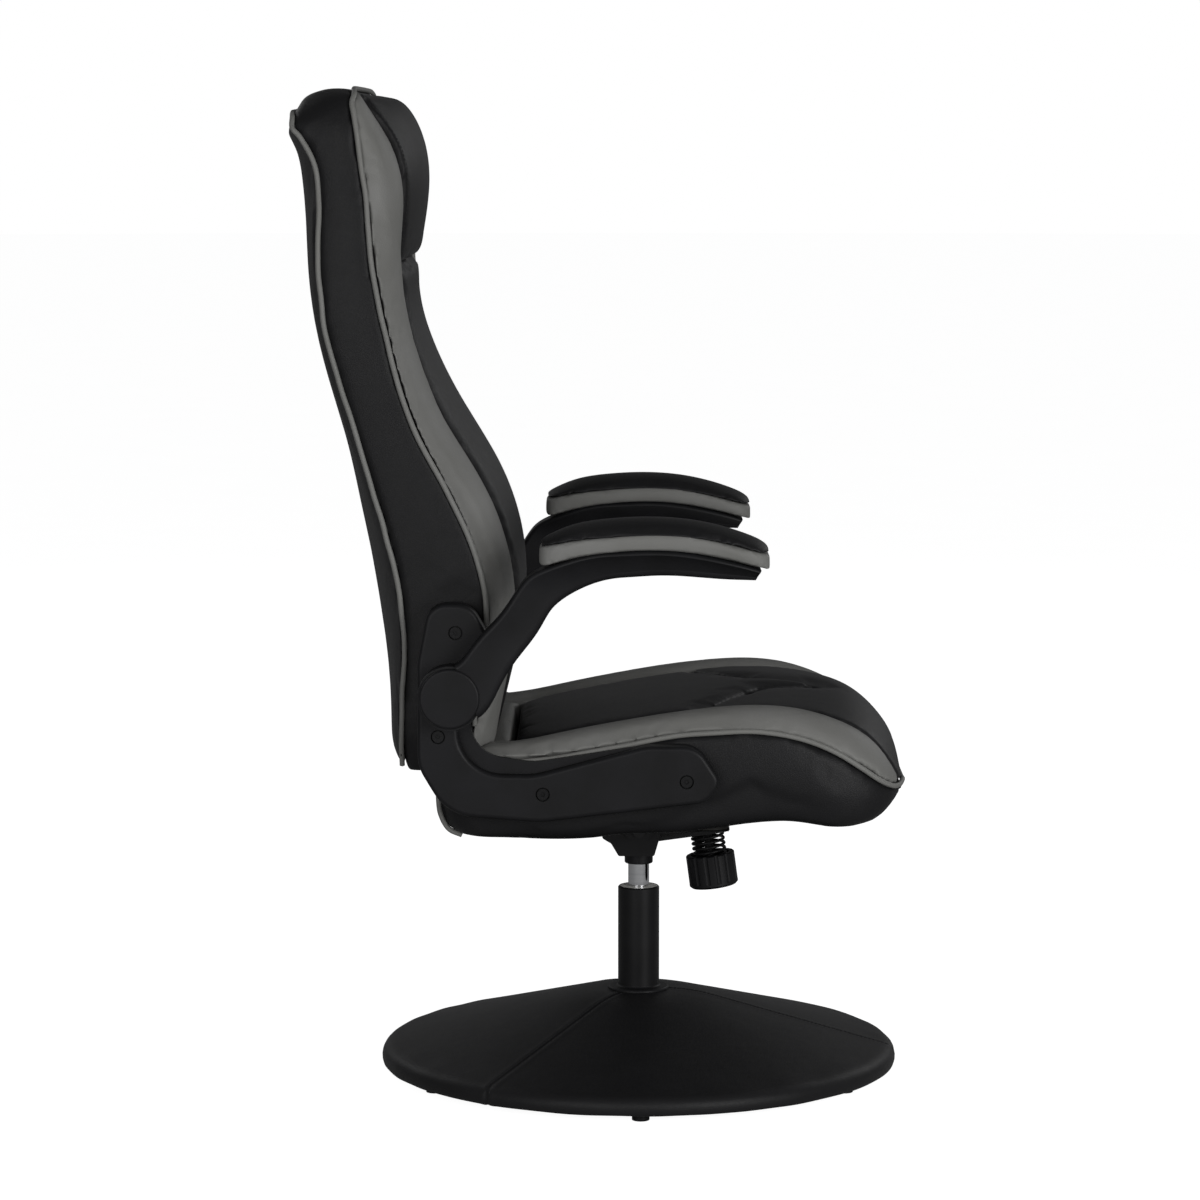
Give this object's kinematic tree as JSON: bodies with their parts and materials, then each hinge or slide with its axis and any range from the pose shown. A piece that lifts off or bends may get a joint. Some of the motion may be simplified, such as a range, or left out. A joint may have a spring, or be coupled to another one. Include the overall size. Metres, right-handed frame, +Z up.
{
  "type": "pedestal rocker chair",
  "caption": "High-backed padded swivel chair on a covered disc base, rocking on a spring-tension tilt mechanism, with flip-up padded arms.",
  "frame": {"origin": "centre of the ring of floor glides, on the floor, on the column's axis", "axes": "+Z up along the column's axis; +X towards the chair's front; +Y towards the sitter's left"},
  "size_m": [0.7108, 0.6812, 1.1646],
  "materials": {
    "black_leatherette": "satin",
    "grey_leatherette": "satin",
    "grey_piping": "satin",
    "black_nylon": "satin",
    "bush_plastic": "satin",
    "black_painted_steel": "satin",
    "zinc_steel": "satin",
    "chrome": "polished",
    "plywood": "satin",
    "dust_fabric": "satin",
    "stop_rubber": "satin"
  },
  "bodies": {
    "base": {"base_shell": "black_nylon", "base_weight_plate": "black_painted_steel", "base_cover_panels": "black_leatherette", "glide_feet": "black_nylon", "glide_nuts": "zinc_steel", "column_tube": "black_painted_steel", "column_foot_ring": "black_nylon", "flange_bolts": "zinc_steel", "column_bushes": "bush_plastic", "bearing_seat": "zinc_steel", "bearing_race_lower": "zinc_steel", "bearing_ball_cage": "zinc_steel"},
    "swivel": {"bearing_race_upper": "zinc_steel", "swivel_post": "chrome", "post_snap_ring": "zinc_steel", "post_collar": "black_nylon", "mechanism_bowl": "black_painted_steel", "rock_pivot_pin": "zinc_steel", "rock_stop_pad": "stop_rubber", "tension_spring": "black_painted_steel"},
    "seat": {"mechanism_plate": "black_painted_steel", "mechanism_bolts": "zinc_steel", "tension_stud": "zinc_steel", "seat_dust_cover": "dust_fabric", "seat_board": "plywood", "seat_rails": "plywood", "seat_boxing": "black_leatherette", "seat_front_pad": "black_leatherette", "seat_centre_pad": "black_leatherette", "seat_rear_border": "grey_leatherette", "seat_bolster_left": "grey_leatherette", "seat_bolster_right": "grey_leatherette", "seat_piping": "grey_piping", "back_board": "plywood", "back_posts": "plywood", "back_rear_panel": "black_leatherette", "back_boxing": "black_leatherette", "headrest_pad": "black_leatherette", "back_centre_pad": "black_leatherette", "back_bolster_left": "grey_leatherette", "back_bolster_right": "grey_leatherette", "back_front_piping": "grey_piping", "back_rear_piping": "grey_piping", "side_bracket_left": "black_nylon", "side_bracket_right": "black_nylon", "bracket_bolts": "black_painted_steel", "hub_pins": "zinc_steel"},
    "washer": {"spring_washer": "zinc_steel"},
    "knob": {"tension_knob_shell": "black_nylon", "knob_nut": "zinc_steel"},
    "arm_left": {"arm_left": "black_nylon", "hub_cap_left": "black_nylon", "arm_band_left": "grey_leatherette", "arm_pad_left": "black_leatherette", "arm_screws_left": "zinc_steel"},
    "arm_right": {"arm_right": "black_nylon", "hub_cap_right": "black_nylon", "arm_band_right": "grey_leatherette", "arm_pad_right": "black_leatherette", "arm_screws_right": "zinc_steel"}
  },
  "joints": [
    {"name": "swivel", "type": "hinge", "parent": "base", "child": "swivel", "pos_m": [0, 0, 0.2], "axis": [0, 0, 1], "continuous": true},
    {"name": "rock", "type": "hinge", "parent": "swivel", "child": "seat", "pos_m": [0, 0, 0.291], "axis": [0, -1, 0], "range_deg": [0, 10], "stiffness_Nm_per_rad": 150, "springref_deg": -14.32, "deforming": ["tension_spring"]},
    {"name": "knob_travel", "type": "slide", "parent": "seat", "child": "washer", "axis": [0.1357, 0, -0.9907], "range_m": [-0.003, 0.003], "deforming": ["tension_spring"]},
    {"name": "knob_turn", "type": "hinge", "parent": "washer", "child": "knob", "pos_m": [0.0846, 0, 0.2574], "axis": [0.1357, 0, -0.9907], "range_deg": [-720, 720]},
    {"name": "arm_left_flip", "type": "hinge", "parent": "seat", "child": "arm_left", "pos_m": [-0.213, 0.3, 0.485], "axis": [0, -1, 0], "range_deg": [0, 92]},
    {"name": "arm_right_flip", "type": "hinge", "parent": "seat", "child": "arm_right", "pos_m": [-0.213, -0.3, 0.485], "axis": [0, -1, 0], "range_deg": [0, 92]}
  ],
  "couplings": [
    {"joint": "knob_travel", "follows": "knob_turn", "m_per_rad": 0.00023873}
  ]
}
